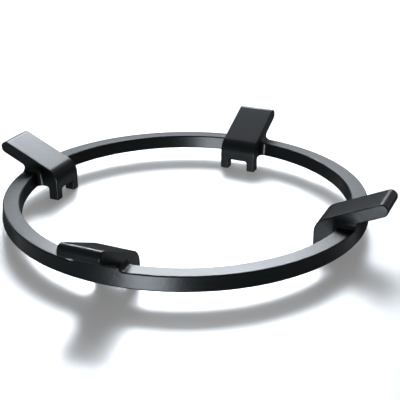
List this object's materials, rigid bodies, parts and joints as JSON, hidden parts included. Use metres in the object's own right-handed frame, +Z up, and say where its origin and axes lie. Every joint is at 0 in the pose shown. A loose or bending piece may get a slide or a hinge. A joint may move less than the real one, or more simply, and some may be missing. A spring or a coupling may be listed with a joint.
{
  "type": "wok ring",
  "caption": "Cast ring with sloped support arms and notched feet that seats a round bottomed wok over a gas burner.",
  "frame": {"origin": "on the ring's axis, in the plane of the soles that it stands on", "axes": "+Z up along the ring's axis, towards the wok; the supports lie on +X, +Y, -X and -Y"},
  "size_m": [0.2636, 0.2636, 0.0361],
  "materials": {
    "enamelled_iron": "black vitreous enamel, half gloss"
  },
  "bodies": {
    "root": {"wok_ring": "enamelled_iron"}
  },
  "joints": []
}
